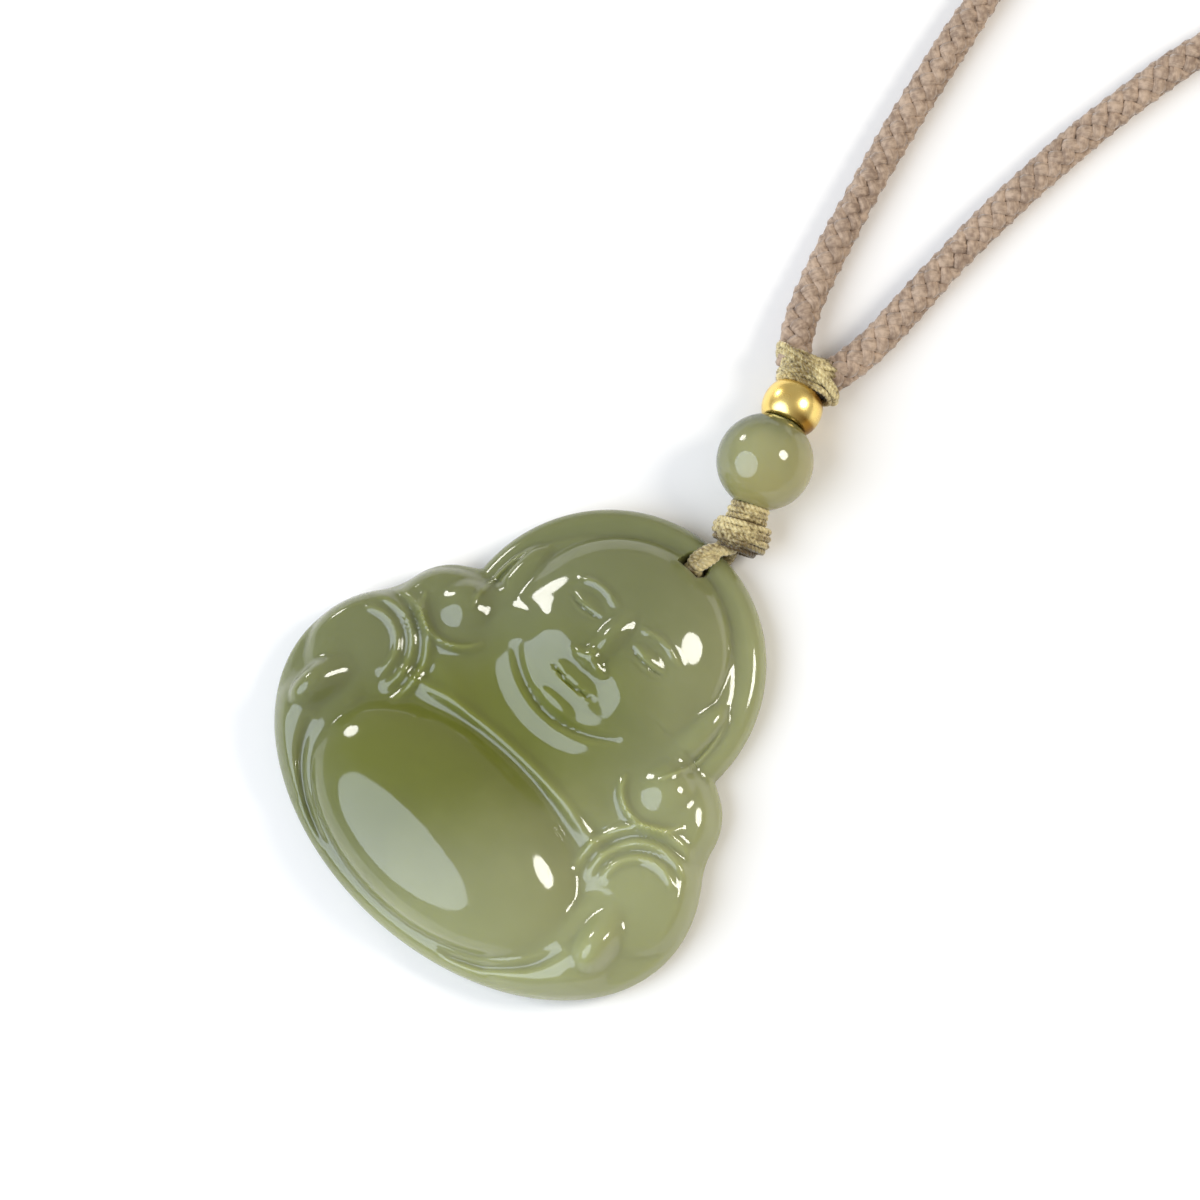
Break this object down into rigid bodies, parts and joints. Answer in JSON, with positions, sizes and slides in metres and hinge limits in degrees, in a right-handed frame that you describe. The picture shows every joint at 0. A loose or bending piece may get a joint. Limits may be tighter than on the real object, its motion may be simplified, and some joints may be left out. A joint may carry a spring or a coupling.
{
  "type": "buddha pendant necklace",
  "caption": "Carved translucent green stone buddha pendant on a beaded thread with a gold spacer and a braided neck cord, lying on its flat back.",
  "frame": {"origin": "middle of the pendant's flat back, half way between its foot and the top of its head", "axes": "+Z out of the carved front, +Y from the pendant's foot towards its hole and the neck cord, +X to the right as the carved front is seen"},
  "size_m": [0.1276, 0.3065, 0.0073],
  "materials": {
    "pendant_stone": "polished",
    "bead_stone": "polished",
    "gold": "polished",
    "knot_thread": "wrapped thread",
    "cord_braid": "round braid"
  },
  "bodies": {
    "root": {"jade_pendant": "pendant_stone", "jade_bead": "bead_stone", "gold_spacer": "gold", "lower_knot": "knot_thread", "upper_binding": "knot_thread", "hanging_loop": "knot_thread", "thread_core": "knot_thread", "neck_cord": "cord_braid"}
  },
  "joints": []
}
